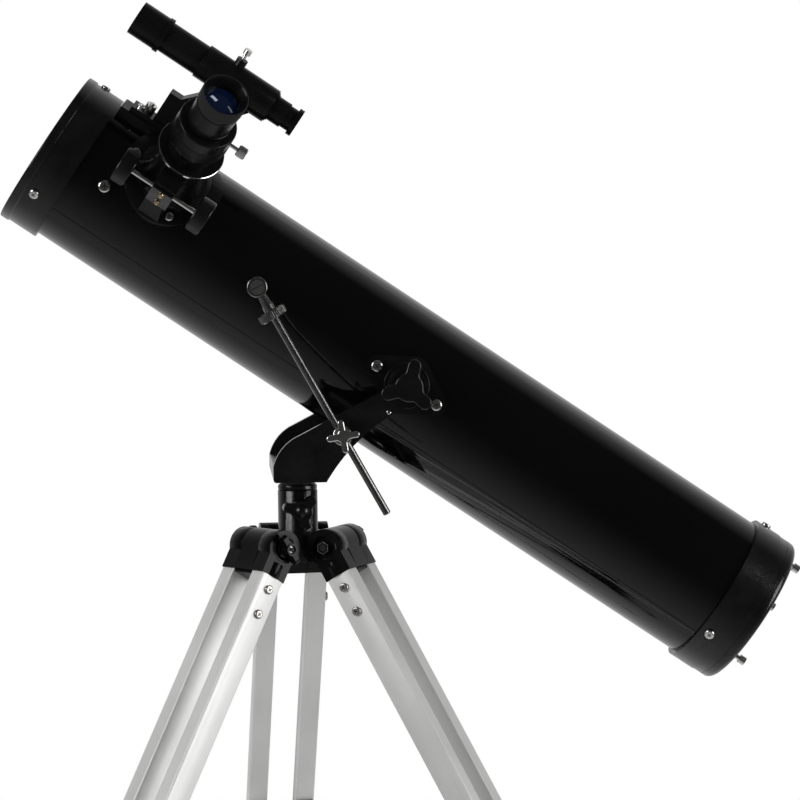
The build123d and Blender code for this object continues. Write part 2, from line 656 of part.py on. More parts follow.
def arm_face():
    """Side view of a yoke arm: foot, bend, and the round end on the cross axis."""
    left, right, low = -AXIS_SETBACK - YOKE_HALF, -AXIS_SETBACK + YOKE_HALF, -YOKE_DROP
    with BuildSketch() as face:
        with BuildLine():
            Line((right, low), (left, low))
            Line((left, low), (left, low + 12))
            ThreePointArc((left, low + 12), (left + 7.3, low + 26.5), (left + 20, low + 36))
            Line((left + 20, low + 36), (-8, 2))
            Line((-8, 2), (7, -13))
            Spline((7, -13), (-21.4, -27.8), (right + 15, low + 20.8), (right, low))
        make_face()
        fillet(face.vertices().sort_by(Axis.X)[:2].sort_by(Axis.Y)[:1], FOOT_CORNER_R)
        Circle(ARM_END_R)
    return face.sketch


def yoke():
    """Two arms on a foot with a low back wall, and the spindle that turns in the column."""
    inner = YOKE_OUTER - ARM_THICK
    left, right, low = -AXIS_SETBACK - YOKE_HALF, -AXIS_SETBACK + YOKE_HALF, -YOKE_DROP
    arm = Rot(90, 0, 0) * extrude(arm_face(), ARM_THICK)
    body = Pos(0, YOKE_OUTER, 0) * arm + Pos(0, -inner, 0) * arm
    foot = Pos((left + right) / 2, low + BASE_THICK / 2) * Rectangle(right - left, BASE_THICK)
    foot = fillet(foot.vertices().sort_by(Axis.X)[:2].sort_by(Axis.Y)[:1], FOOT_CORNER_R)
    body += Pos(0, inner + 1, 0) * Rot(90, 0, 0) * extrude(foot, 2 * inner + 2)
    reach = Pos(left + BACK_WALL[1] / 2, low + BACK_WALL[2] / 2) * Rectangle(*BACK_WALL[1:])
    wall = (arm_face() - Pos(BACK_WALL[0], -BACK_WALL[0] / 2) * arm_face()) & reach
    body += Pos(0, inner + 1, 0) * Rot(90, 0, 0) * extrude(wall, 2 * inner + 2)
    body -= along_y(TRUNNION_R + RUN, -YOKE_OUTER - 1, YOKE_OUTER + 1)
    top = low - (PIVOT_ABOVE_HINGE - YOKE_DROP - COLUMN_TOP - WASHER_THICK - FIT)
    body += along_z(COLUMN_R - 1.65, top, low + 1, x=-AXIS_SETBACK)
    body += along_z(SPINDLE_R, -PIVOT_ABOVE_HINGE + 8, low + 1, x=-AXIS_SETBACK)
    return Pos(*PIVOT) * body


def three_arm_knob(reach, thick, arm):
    """Knob with three round-ended arms, standing on z = 0."""
    shape = Circle(arm * 1.05)
    for turn in (75, 195, 315):
        bar = Pos((reach - arm / 2) / 2) * Rectangle(reach - arm / 2, arm)
        bar += Pos(reach - arm / 2) * Circle(arm / 2)
        shape += Rot(0, 0, turn) * bar
    inner = [corner for corner in shape.vertices() if hypot(corner.X, corner.Y) < reach * 0.6]
    shape = fillet(inner, arm * 0.4)
    knob = extrude(shape, thick)
    return fillet(knob.edges().group_by(Axis.Z)[-1], 1.2)


def altitude_knob(side):
    knob = Pos(0, 0, 4.5) * three_arm_knob(ALT_KNOB_R, ALT_KNOB_THICK, 10.5)
    knob += along_z(12.5, 0, 5)
    knob += along_z(ALT_BOLT_R, -13, 1)
    face = YOKE_OUTER + GAP
    turn = 90 if side < 0 else -90
    return Pos(*PIVOT) * Pos(0, side * face, 0) * Rot(turn, 0, 0) * knob


def azimuth_knob():
    knob = Pos(0, 0, 4.5) * three_arm_knob(AZ_KNOB_R, 10, 8)
    knob += along_z(6, 0, 5)
    knob += along_z(AZ_SCREW_R, -COLUMN_R + SPINDLE_R, 1)
    place = Rot(0, 0, FIRST_LEG + 180) * Pos(COLUMN_R + GAP, 0, HINGE_Z + AZ_KNOB_Z)
    return place * Rot(0, 90, 0) * Rot(0, 0, 180) * knob


def hub():
    """Casting with the column and three hinge lugs, and the washer that the yoke turns on."""
    body = along_z(HUB_R, -HUB_BELOW, HUB_ABOVE) + along_z(COLUMN_R, HUB_ABOVE - 1, COLUMN_TOP)
    for azimuth in LEGS.values():
        lug = block((0, HINGE_RADIUS), (-LUG_HALF, LUG_HALF), (-LUG_R, LUG_R - 2))
        lug += along_y(LUG_R, -LUG_HALF, LUG_HALF, x=HINGE_RADIUS)
        lug -= along_y(BOLT_R + RUN, -LUG_HALF - 1, LUG_HALF + 1, x=HINGE_RADIUS)
        body += Rot(0, 0, azimuth) * lug
    body -= along_z(SPINDLE_R + RUN, 6, COLUMN_TOP + 1)
    cut = Rot(0, 0, FIRST_LEG + 180) * Pos(0, 0, AZ_KNOB_Z) * along_x(AZ_SCREW_R + FIT, 0, 30)
    body -= cut
    washer = along_z(COLUMN_R - 0.2, COLUMN_TOP + FIT, COLUMN_TOP + WASHER_THICK)
    washer = fillet(washer.edges(), 1.5)
    washer -= along_z(SPINDLE_R + RUN, COLUMN_TOP - 1, COLUMN_TOP + WASHER_THICK + 1)
    return Pos(0, 0, HINGE_Z) * group(body, washer)


def leg_frame(azimuth):
    """Frame of a leg: the hinge pin on y, the leg hanging along -z, x on its outer side."""
    return Rot(0, 0, azimuth) * Pos(HINGE_RADIUS, 0, HINGE_Z) * Rot(0, -LEAN, 0)


def leg_bracket():
    """Fork on the hinge pin, with plugs that go down inside the rails."""
    inner = LEG_HALF - RAIL[1]
    body = block((-9, 9), (-inner, inner), (-RAIL_TOP - 2, -16.5))
    for side in (-1, 1):
        low, high = sorted((side * (LUG_HALF + GAP), side * LEG_HALF))
        cheek = along_y(CHEEK_R, low, high)
        cheek += block((-11.5, 11.5), (low, high), (-RAIL_TOP, 0))
        middle = side * (LEG_HALF - RAIL[1] / 2)
        wall = RAIL_WALL + FIT
        plug = block((-RAIL[0] / 2 + wall, RAIL[0] / 2 - wall),
                     (middle - RAIL[1] / 2 + wall, middle + RAIL[1] / 2 - wall),
                     (-PLUG_END, -RAIL_TOP + 1))
        bulge = along_z(6.5, -RAIL_TOP, -13, y=side * (LEG_HALF - 4.2))
        body += cheek + plug + bulge
        low, high = sorted((side * (LEG_HALF - POCKET_DEEP), side * (LEG_HALF + 5)))
        body -= along_y(POCKET_R, low, high)
    body -= along_y(BOLT_R + FIT, -LEG_HALF - 1, LEG_HALF + 1)
    for depth in RAIL_SCREWS:
        body -= along_y(RAIL_SCREW[2] + FIT, -LEG_HALF - 1, LEG_HALF + 1, z=-depth)
    return body


def leg_rails():
    """Two hollow rails, each with a raised band down its outer side."""
    pieces = []
    for side in (-1, 1):
        middle = side * (LEG_HALF - RAIL[1] / 2)
        rail = Pos(0, middle) * RectangleRounded(RAIL[0], RAIL[1], 1.2)
        crown = Pos(0, side * (LEG_HALF + RAIL_CROWN - RAIL_CROWN_R)) * Circle(RAIL_CROWN_R)
        rail += crown & Pos(0, side * (LEG_HALF + 1)) * Rectangle(RAIL[0] - 2.4, 4)
        rail -= Pos(0, middle) * Rectangle(RAIL[0] - 2 * RAIL_WALL, RAIL[1] - 2 * RAIL_WALL)
        solid = Pos(0, 0, -RAIL_TOP - RAIL_LENGTH) * extrude(rail, RAIL_LENGTH)
        for depth in RAIL_SCREWS:
            low, high = sorted((side * (LEG_HALF - RAIL_WALL - 2), side * (LEG_HALF + 3)))
            solid -= along_y(RAIL_SCREW[2] + FIT, low, high, z=-depth)
        pieces.append(solid)
    return group(*pieces)


def leg_fasteners():
    """Hinge bolt with its hexagon head, and four screws that hold the rails to the fork."""
    bottom = LEG_HALF - POCKET_DEEP
    bolt = along_y(BOLT_R, -bottom - 1, LEG_HALF + 8)
    head = Pos(0, -bottom, 0) * Rot(90, 0, 0) * extrude(RegularPolygon(4.9, 6), 4.5)
    bolt += head
    pieces = [bolt]
    for side in (-1, 1):
        for depth in RAIL_SCREWS:
            screw = pan_screw(*RAIL_SCREW)
            turn = Rot(90, 0, 0) if side < 0 else Rot(-90, 0, 0)
            pieces.append(Pos(0, side * (LEG_HALF + RAIL_CROWN), -depth) * turn * screw)
    pieces.append(along_y(PIN_R, -PIN_HALF, PIN_HALF, x=-BRACE_IN, z=-BRACE_DOWN))
    return group(*pieces)


def wing_nut():
    seat = LEG_HALF - POCKET_DEEP + FIT
    nut = along_y(7, seat, seat + 5) + along_y(5, seat, seat + 13)
    wing = block((-13, 13), (seat + 4, seat + 12), (-2.2, 2.2))
    nut += Rot(0, WING_TURN, 0) * fillet(wing.edges().filter_by(Axis.Z), 3)
    nut -= along_y(BOLT_R + RUN, seat - 1, seat + 20)
    return nut


def leg_clamps():
    """Clip for the brace across the inner side, and the clamp block at the rails' lower end."""
    face = -RAIL[0] / 2 - FIT
    thick, half = CLIP
    clip = block((face - thick, face), (-LEG_HALF, LEG_HALF), (-BRACE_DOWN - half, -BRACE_DOWN + half))
    for side in (-1, 1):
        low, high = sorted((side * (BRACE_HALF + GAP), side * PIN_HALF))
        ear = BRACE_EYE_R + 0.5
        clip += along_y(ear, low, high, x=-BRACE_IN, z=-BRACE_DOWN)
        clip += block((-BRACE_IN, face), (low, high), (-BRACE_DOWN - ear, -BRACE_DOWN + ear))
    clip -= along_y(PIN_R + PIN_HOLD, -20, 20, x=-BRACE_IN, z=-BRACE_DOWN)
    end = RAIL_TOP + RAIL_LENGTH
    deep, wide, tall = CLAMP_BLOCK
    top = -end + CLAMP_SOCKET
    clamp = block((-deep / 2, deep / 2), (-wide / 2, wide / 2), (top - tall, top))
    clamp = fillet(clamp.edges().filter_by(Axis.Z), 4)
    for side in (-1, 1):
        low, high = sorted((side * (LEG_HALF - RAIL[1] - FIT), side * (LEG_HALF + RAIL_CROWN + FIT)))
        half = RAIL[0] / 2 + FIT
        clamp -= block((-half, half), (low, high), (-end - FIT, top + 1))
    clamp -= block((-LOWER[0] / 2 - SLIDE, LOWER[0] / 2 + SLIDE),
                   (-LOWER[1] / 2 - SLIDE, LOWER[1] / 2 + SLIDE), (top - tall - 1, top + 1))
    clamp -= along_x(LOCK_SCREW_R + FIT, 0, 30, z=top - tall / 2)
    return group(clip, clamp)


def lock_knob():
    """Clamp screw with a round grip, on the outer side of the leg."""
    height = -RAIL_TOP - RAIL_LENGTH + CLAMP_SOCKET - CLAMP_BLOCK[2] / 2
    face = CLAMP_BLOCK[0] / 2
    grip = along_x(11, face + 3, face + 15)
    grip = fillet(grip.edges(), 1.5)
    for turn in range(0, 360, 60):
        grip -= Rot(turn, 0, 0) * Pos(0, 0, 13) * along_x(4, face, face + 20)
    knob = grip + along_x(5, face + GAP, face + 4)
    knob += along_x(LOCK_SCREW_R, LOWER[0] / 2 + GAP, face + 4)
    return Pos(0, 0, height) * knob


def lower_leg():
    shape = RectangleRounded(LOWER[0], LOWER[1], 1.5) - Rectangle(LOWER[0] - 3, LOWER[1] - 3)
    end = LEG_SPAN - FOOT_LENGTH + 12
    return Pos(0, 0, -end) * extrude(shape, end - LOWER_TOP)


def foot():
    """Rubber shoe on the lower leg, cut level with the floor."""
    top = -LEG_SPAN + FOOT_LENGTH
    shoe = block((-13, 13), (-15, 15), (-LEG_SPAN - 14, top))
    shoe = fillet(shoe.edges().filter_by(Axis.Z), 5)
    shoe -= Pos(0, 0, -LEG_SPAN) * Rot(0, LEAN, 0) * block((-60, 60), (-60, 60), (-60, 0))
    socket_end = -LEG_SPAN + FOOT_LENGTH - 12
    shoe -= block((-LOWER[0] / 2 - FIT, LOWER[0] / 2 + FIT), (-LOWER[1] / 2 - FIT, LOWER[1] / 2 + FIT),
                  (socket_end - FIT, top + 1))
    return shoe


def brace_frame(azimuth):
    """Frame of a brace: its leg pin on y, the brace running along -z."""
    lean = radians(LEAN)
    radial = HINGE_RADIUS + BRACE_DOWN * sin(lean) - BRACE_IN * cos(lean)
    height = HINGE_Z - BRACE_DOWN * cos(lean) - BRACE_IN * sin(lean)
    return Rot(0, 0, azimuth) * Pos(radial, 0, height) * Rot(0, BRACE_TILT, 0)


def brace():
    bar = block((-1.75, 1.75), (-BRACE_HALF, BRACE_HALF), (-BRACE_LENGTH, 0))
    for height in (0, -BRACE_LENGTH):
        bar += along_y(BRACE_EYE_R, -BRACE_HALF, BRACE_HALF, z=height)
        bar -= along_y(PIN_R + RUN, -20, 20, z=height)
    return bar


def tray():
    """Accessory tray with three eyepiece holes, lugs for the braces and their pins."""
    low = BRACE_FOOT_Z - TRAY_DROP
    plate = along_z(TRAY_DISC_R, low, low + TRAY_THICK)
    pins = []
    for azimuth in LEGS.values():
        lobe = along_z(TRAY_LOBE_R, low, low + TRAY_THICK, x=TRAY_HOLE_AT)
        lobe += block((0, TRAY_HOLE_AT), (-TRAY_LOBE_R, TRAY_LOBE_R), (low, low + TRAY_THICK))
        plate += Rot(0, 0, azimuth + 60) * lobe
        for side in (-1, 1):
            near, far = sorted((side * (BRACE_HALF + GAP), side * PIN_HALF))
            across = (HINGE_RADIUS - BRACE_EYE_R, HINGE_RADIUS + BRACE_EYE_R)
            lug = block(across, (near, far), (low, BRACE_FOOT_Z))
            lug += along_y(BRACE_EYE_R, near, far, x=HINGE_RADIUS, z=BRACE_FOOT_Z)
            plate += Rot(0, 0, azimuth) * lug
    for azimuth in LEGS.values():
        cut = along_y(PIN_R + PIN_HOLD, -20, 20, x=HINGE_RADIUS, z=BRACE_FOOT_Z)
        plate -= Rot(0, 0, azimuth) * cut
        plate -= Rot(0, 0, azimuth + 60) * along_z(TRAY_HOLE_R, low - 1, low + 10, x=TRAY_HOLE_AT)
        pin = along_y(PIN_R, -PIN_HALF, PIN_HALF, x=HINGE_RADIUS, z=BRACE_FOOT_Z)
        pins.append(Rot(0, 0, azimuth) * pin)
    return group(plate, *pins)


def rod_frame():
    """Frame of the height rod: its eye on y, the rod running along -z."""
    lean = radians(ALTITUDE)
    eye = (PIVOT[0] - ROD_EYE_AT * cos(lean), -ROD_PLANE, PIVOT[2] + ROD_EYE_AT * sin(lean))
    across = PIVOT[0] + CLAMP_FROM_AXIS[0] - eye[0]
    down = eye[2] - PIVOT[2] - CLAMP_FROM_AXIS[1]
    turn = degrees(atan2(across, down))
    return Pos(*eye) * Rot(0, -turn, 0), hypot(across, down)


def slow_motion_rod():
    """Eye with its neck, and the plain rod screwed into it."""
    eye = along_y(EYE_R, -3.5, 3.5)
    eye = fillet(eye.edges(), 1.2)
    neck = Pos(0, 0, -NECK_END / 2 - 3) * Cone(4.2, 3.2, NECK_END - 6)
    neck += along_z(4.8, -NUT_FROM_EYE, -NECK_END)
    eye = eye + neck - along_y(EYE_BORE_R, -10, 10)
    eye -= along_z(ROD_R, -NUT_FROM_EYE - 1, -NECK_END - 1)
    rod = along_z(ROD_R, -ROD_LENGTH, -NECK_END - 1)
    rod = chamfer(rod.edges().group_by(Axis.Z)[0], 0.6)
    return group(eye, rod)


def rod_nut():
    nut = along_z(NUT_SIZE[0], -NUT_FROM_EYE - NUT_SIZE[1], -NUT_FROM_EYE - FIT)
    nut = chamfer(nut.edges(), 0.8)
    return nut - along_z(ROD_R + RUN, -60, 0)


def rod_clamp(reach):
    """Block that slides on the rod beside the yoke's arm, with the screw of the star knob."""
    clamp = along_y(CLAMP_R, -5.5, ROD_PLANE - YOKE_OUTER - GAP, z=-reach)
    clamp = fillet(clamp.edges(), 0.8)
    clamp += block((-4.6, 4.6), (-4.8, 4.8), (-reach - 6, -reach + 6))
    clamp -= along_z(ROD_R + RUN, -ROD_LENGTH - 10, 0)
    clamp -= along_y(STAR_SCREW_R + RUN, -20, -ROD_R - 0.2, z=-reach)
    return clamp


def star_knob(reach):
    """Four-pointed knob whose screw bears on the rod."""
    tip = STAR_R - STAR_TIP_R
    shape = Circle(STAR_TIP_R * 2)
    for turn in (0, 90, 180, 270):
        arm = Pos(tip / 2) * Rectangle(tip, 2 * STAR_TIP_R) + Pos(tip) * Circle(STAR_TIP_R)
        shape += Rot(0, 0, turn + STAR_TURN) * arm
    inner = [corner for corner in shape.vertices() if hypot(corner.X, corner.Y) < tip - 1]
    shape = fillet(inner, STAR_TIP_R)
    knob = Rot(90, 0, 0) * extrude(shape, 8)
    knob = Pos(0, -7.0, -reach) * fillet(knob.edges().group_by(Axis.Y)[0], 1.0)
    knob += along_y(4.5, -7.5, -5.5 - GAP, z=-reach)
    return knob + along_y(STAR_SCREW_R, -8, -ROD_R - GAP, z=-reach)


def main():
    os.makedirs("parts", exist_ok=True)
    for name in ("tube_shell", "front_ring", "rear_ring", "mirror_cell", "primary_mirror",
                 "collimation_screws", "spider", "secondary_mirror", "trunnion_plates",
                 "tube_screws", "focuser_base", "pinion_cover", "drawtube", "eyepiece_holder",
                 "set_screw", "pinion_shaft", "focus_knobs", "eyepiece", "eyepiece_lens",
                 "finder_bracket", "finder_screws", "finder_tube", "finder_lenses", "yoke",
                 "azimuth_knob", "hub", "tray"):
        save(name, globals()[name]())
    save("altitude_knob_near", altitude_knob(-1))
    save("altitude_knob_far", altitude_knob(1))
    leg_pieces = {"leg_bracket": leg_bracket(), "leg_rails": leg_rails(), "wing_nut": wing_nut(),
                  "leg_fasteners": leg_fasteners(), "leg_clamps": leg_clamps(),
                  "lock_knob": lock_knob(), "lower_leg": lower_leg(), "foot": foot()}
    for letter, azimuth in LEGS.items():
        for name, shape in leg_pieces.items():
            save(f"{name}_{letter}", leg_frame(azimuth) * shape)
        save(f"brace_{letter}", brace_frame(azimuth) * brace())
    rod, reach = rod_frame()
    save("slow_motion_rod", rod * slow_motion_rod())
    save("rod_nut", rod * rod_nut())
    save("rod_clamp", rod * rod_clamp(reach))
    save("star_knob", rod * star_knob(reach))


main()
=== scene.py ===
"""Looks of the newtonian telescope: materials, fine detail, studio and camera, in metres."""

import json
from math import asin, cos, degrees, pi, radians, sin

import bmesh
import bpy
from mathutils import Matrix, Vector


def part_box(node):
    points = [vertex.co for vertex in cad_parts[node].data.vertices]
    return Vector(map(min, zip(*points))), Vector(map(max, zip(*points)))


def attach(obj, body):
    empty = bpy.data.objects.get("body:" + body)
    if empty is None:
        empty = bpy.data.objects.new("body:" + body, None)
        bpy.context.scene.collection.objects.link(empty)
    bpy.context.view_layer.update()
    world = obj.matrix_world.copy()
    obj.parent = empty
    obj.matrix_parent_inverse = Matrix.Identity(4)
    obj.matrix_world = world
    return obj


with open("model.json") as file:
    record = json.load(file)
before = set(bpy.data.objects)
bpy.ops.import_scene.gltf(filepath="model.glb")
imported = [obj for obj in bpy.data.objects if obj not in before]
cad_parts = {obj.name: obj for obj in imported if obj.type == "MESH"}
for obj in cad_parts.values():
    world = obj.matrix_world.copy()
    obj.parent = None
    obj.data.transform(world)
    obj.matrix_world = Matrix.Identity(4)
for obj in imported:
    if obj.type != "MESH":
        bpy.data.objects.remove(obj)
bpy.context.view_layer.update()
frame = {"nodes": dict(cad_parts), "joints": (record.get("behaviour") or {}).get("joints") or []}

NODES = frame["nodes"]
JOINTS = {joint["name"]: joint for joint in frame["joints"]}
MM = 0.001
LEGS = "abc"


# Frames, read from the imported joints.

def place(joint):
    return Vector(JOINTS[joint]["pos_m"])


def axis(joint):
    return Vector(JOINTS[joint]["axis"]).normalized()


def frame_matrix(origin, x, z):
    """A frame at origin with those x and z axes."""
    y = z.cross(x).normalized()
    x = y.cross(z).normalized()
    matrix = Matrix((x, y, z)).transposed().to_4x4()
    matrix.translation = origin
    return matrix


def about_x(turn):
    """A turn about x, in degrees."""
    return Matrix.Rotation(radians(turn), 4, "X")


def about_z(turn):
    """A turn about z, in degrees."""
    return Matrix.Rotation(radians(turn), 4, "Z")


def shift(x=0.0, y=0.0, z=0.0):
    """A move, in millimetres."""
    return Matrix.Translation(Vector((x, y, z)) * MM)


PIVOT = place("altitude")
ALONG = axis("focus_turn")
OUT = axis("focus")
ACROSS = axis("altitude")
HALF_LENGTH = 335.0
SPIDER_STATION = 57.0
FOCUSER_STATION = 97.0
FOCUSER_ANGLE = 53.0
FLANGE_THICK = 3.4
FLANGE_SCREWS = (-66.0, 54.0, 186.0)
FLANGE_SCREW_AT = 34.0
FINDER_ANGLE = 20.0
FINDER_AXIS = 130.0
TUBE_R = 59.5
RING_R = 63.2
PINION_HEIGHT = 75.0
FOCUS_KNOB_R = 14.5
RING_SCREW_STATIONS = (15.0, 641.0)
RING_SCREW_TURNS = (3, 123, 243)
VANE_TURNS = (90, 210, 330)
PLATE_SCREW_AT = 27.5
ROD_STUD = (138.5, 87.5)           # ahead of the pivot, and the height of its head
SEAM_ENDS = (32.2, 632.8)
COLLAR_MIDDLE = 131.0
LEG_SKIN = 27.8
RAIL_SCREW_DEPTHS = (35, 56)
BLACK_RELIEF = 0.0004
TUBE = frame_matrix(PIVOT, ALONG, ALONG.cross(ACROSS)) @ shift(-HALF_LENGTH)
FOCUSER = frame_matrix(TUBE @ Vector((FOCUSER_STATION * MM, 0, 0)), ALONG, OUT)
FINDER = TUBE @ about_x(FINDER_ANGLE) @ shift(0, 0, FINDER_AXIS)
ROD = frame_matrix(place("rod_pivot"), ACROSS, axis("clamp_slide"))


def leg_matrix(letter):
    """A leg's frame: z up the leg, x outward, y along its hinge pin."""
    up = -axis(f"leg_slide_{letter}")
    return frame_matrix(place(f"leg_fold_{letter}"), axis(f"leg_fold_{letter}").cross(up), up)


# Mesh helpers. Every profile is in millimetres.

def finish_mesh(name, bm, matrix, material, body, sharp=35):
    """Makes an object from a bmesh in millimetres, places it and lets it ride on a body."""
    bmesh.ops.remove_doubles(bm, verts=bm.verts, dist=1e-5)
    bmesh.ops.recalc_face_normals(bm, faces=bm.faces)
    mesh = bpy.data.meshes.new(name)
    bm.to_mesh(mesh)
    bm.free()
    mesh.transform(matrix @ Matrix.Scale(MM, 4))
    for polygon in mesh.polygons:
        polygon.use_smooth = True
    mesh.set_sharp_from_angle(angle=radians(sharp))
    mesh.materials.append(material)
    obj = bpy.data.objects.new(name, mesh)
    bpy.context.scene.collection.objects.link(obj)
    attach(obj, body)


def lathe(profile, steps=64, wave=None, closed=True):
    """Turns a profile of (radius, height) about z. wave(angle, row) adds to the radius."""
    bm = bmesh.new()
    rings = []
    for row, (radius, height) in enumerate(profile):
        ring = []
        for step in range(steps):
            angle = 2 * pi * step / steps
            r = radius + (wave(angle, row) if wave else 0.0)
            ring.append(bm.verts.new((r * cos(angle), r * sin(angle), height)))
        rings.append(ring)
    pairs = list(zip(rings, rings[1:])) + ([(rings[-1], rings[0])] if closed else [])
    for low, high in pairs:
        for step in range(steps):
            after = (step + 1) % steps
            bm.faces.new((low[step], low[after], high[after], high[step]))
    return bm


def prism(outline, low, high, bevel=0.0):
    """An outline of (x, y) between two heights, its top edges bevelled."""
    bm = bmesh.new()
    bottom = [bm.verts.new((x, y, low)) for x, y in outline]
    top = [bm.verts.new((x, y, high)) for x, y in outline]
    bm.faces.new(bottom[::-1])
    cap = bm.faces.new(top)
    for step in range(len(outline)):
        after = (step + 1) % len(outline)
        bm.faces.new((bottom[step], bottom[after], top[after], top[step]))
    if bevel:
        bmesh.ops.bevel(bm, geom=list(cap.edges), offset=bevel, segments=2, affect="EDGES")
    return bm


def rectangle(width, height):
    return [(-width / 2, -height / 2), (width / 2, -height / 2),
            (width / 2, height / 2), (-width / 2, height / 2)]


def cross(reach, width):
    """Outline of a cross recess."""
    r, w = reach, width / 2
    return [(w, -r), (w, -w), (r, -w), (r, w), (w, w), (w, r),
            (-w, r), (-w, w), (-r, w), (-r, -w), (-w, -w), (-w, -r)]


# Materials.

def new_material(name, **sockets):
    material = bpy.data.materials.new(name)
    material.use_nodes = True
    shader = material.node_tree.nodes["Principled BSDF"]
    for socket, value in sockets.items():
        shader.inputs[socket.replace("_", " ")].default_value = value
    return material, material.node_tree, shader


def add(tree, kind, **settings):
    node = tree.nodes.new(kind)
    for name, value in settings.items():
        if name in node.inputs:
            node.inputs[name].default_value = value
        else:
            setattr(node, name, value)
    return node


def coordinates(tree, rotation=None, scale=(1, 1, 1)):
    """Object coordinates, turned by a matrix and scaled along its axes."""
    source = add(tree, "ShaderNodeTexCoord").outputs["Object"]
    if rotation is not None:
        turn = add(tree, "ShaderNodeMapping", vector_type="POINT")
        turn.inputs["Rotation"].default_value = rotation.to_3x3().inverted().to_euler()
        tree.links.new(source, turn.inputs["Vector"])
        source = turn.outputs["Vector"]
    stretch = add(tree, "ShaderNodeMapping", vector_type="POINT")
    stretch.inputs["Scale"].default_value = scale
    tree.links.new(source, stretch.inputs["Vector"])
    return stretch.outputs["Vector"]


def noise(tree, source, scale, detail=3.0):
    texture = add(tree, "ShaderNodeTexNoise", Scale=scale, Detail=detail)
    tree.links.new(source, texture.inputs["Vector"])
    return texture.outputs["Fac"]


def spread(tree, value, low, high, start=0.3, end=0.7):
    """Maps a value to a range."""
    node = add(tree, "ShaderNodeMapRange")
    for name, number in (("From Min", start), ("From Max", end), ("To Min", low), ("To Max", high)):
        node.inputs[name].default_value = number
    tree.links.new(value, node.inputs["Value"])
    return node.outputs["Result"]


def tint(tree, value, dark, light):
    """Mixes two colours by a value."""
    ramp = add(tree, "ShaderNodeValToRGB")
    ramp.color_ramp.elements[0].color = (*dark, 1)
    ramp.color_ramp.elements[1].color = (*light, 1)
    ramp.color_ramp.elements[0].position = 0.3
    ramp.color_ramp.elements[1].position = 0.7
    tree.links.new(value, ramp.inputs["Fac"])
    return ramp.outputs["Color"]


def bump(tree, shader, height, strength, distance):
    """Relief from a height value."""
    node = add(tree, "ShaderNodeBump", Strength=strength, Distance=distance)
    tree.links.new(height, node.inputs["Height"])
    tree.links.new(node.outputs["Normal"], shader.inputs["Normal"])


def black(name, dark, light, rough, grain, strength, **sockets):
    """A black finish whose colour, roughness and relief all vary."""
    material, tree, shader = new_material(name, **sockets)
    source = coordinates(tree)
    cloud = noise(tree, source, 45.0)
    fine = noise(tree, source, grain, 2.0)
    tree.links.new(tint(tree, cloud, dark, light), shader.inputs["Base Color"])
    tree.links.new(spread(tree, fine, *rough), shader.inputs["Roughness"])
    bump(tree, shader, fine, strength, BLACK_RELIEF)
    return material


def gloss_enamel():
    """Gloss outside the tube, flat black paint inside it."""
    material, tree, shader = new_material("gloss_enamel", Specular_IOR_Level=0.45)
    source = coordinates(tree)
    position = coordinates(tree, TUBE)
    middle = TUBE.to_3x3().inverted() @ TUBE.translation
    parts = add(tree, "ShaderNodeSeparateXYZ")
    tree.links.new(position, parts.inputs["Vector"])
    ring = add(tree, "ShaderNodeCombineXYZ")
    for name, centre in (("Y", middle.y), ("Z", middle.z)):
        move = add(tree, "ShaderNodeMath", operation="SUBTRACT")
        tree.links.new(parts.outputs[name], move.inputs[0])
        move.inputs[1].default_value = centre
        tree.links.new(move.outputs["Value"], ring.inputs[name])
    length = add(tree, "ShaderNodeVectorMath", operation="LENGTH")
    tree.links.new(ring.outputs["Vector"], length.inputs[0])
    inside = spread(tree, length.outputs["Value"], 1.0, 0.0,
                    (TUBE_R - 0.9) * MM, (TUBE_R - 0.5) * MM)
    peel = noise(tree, source, 260.0, 1.0)
    cloud = noise(tree, source, 6.0)
    gloss = spread(tree, cloud, 0.06, 0.1)
    mix = add(tree, "ShaderNodeMix", data_type="FLOAT")
    tree.links.new(inside, mix.inputs[0])
    tree.links.new(gloss, mix.inputs[2])
    mix.inputs[3].default_value = 0.75
    tree.links.new(mix.outputs[0], shader.inputs["Roughness"])
    tree.links.new(tint(tree, cloud, (0.0012, 0.0012, 0.0014), (0.002, 0.002, 0.0022)),
                   shader.inputs["Base Color"])
    bump(tree, shader, peel, 0.02, 0.00005)
    return material


def hammered():
    """Black paint with the small round cells of a hammered finish."""
    material, tree, shader = new_material("hammered_black", Specular_IOR_Level=0.5)
    source = coordinates(tree)
    cells = add(tree, "ShaderNodeTexVoronoi", feature="SMOOTH_F1", Scale=1050.0, Smoothness=0.7)
    warp = add(tree, "ShaderNodeTexNoise", Scale=300.0, Detail=2.0)
    tree.links.new(source, warp.inputs["Vector"])
    push = add(tree, "ShaderNodeVectorMath", operation="MULTIPLY_ADD")
    tree.links.new(warp.outputs["Color"], push.inputs[0])
    push.inputs[1].default_value = (0.0009, 0.0009, 0.0009)
    tree.links.new(source, push.inputs[2])
    tree.links.new(push.outputs["Vector"], cells.inputs["Vector"])
    cloud = noise(tree, source, 60.0)
    tree.links.new(tint(tree, cloud, (0.0028, 0.0028, 0.003), (0.0055, 0.0055, 0.0058)),
                   shader.inputs["Base Color"])
    tree.links.new(spread(tree, cloud, 0.15, 0.24), shader.inputs["Roughness"])
    bump(tree, shader, cells.outputs["Distance"], 0.3, 0.00035)
    return material


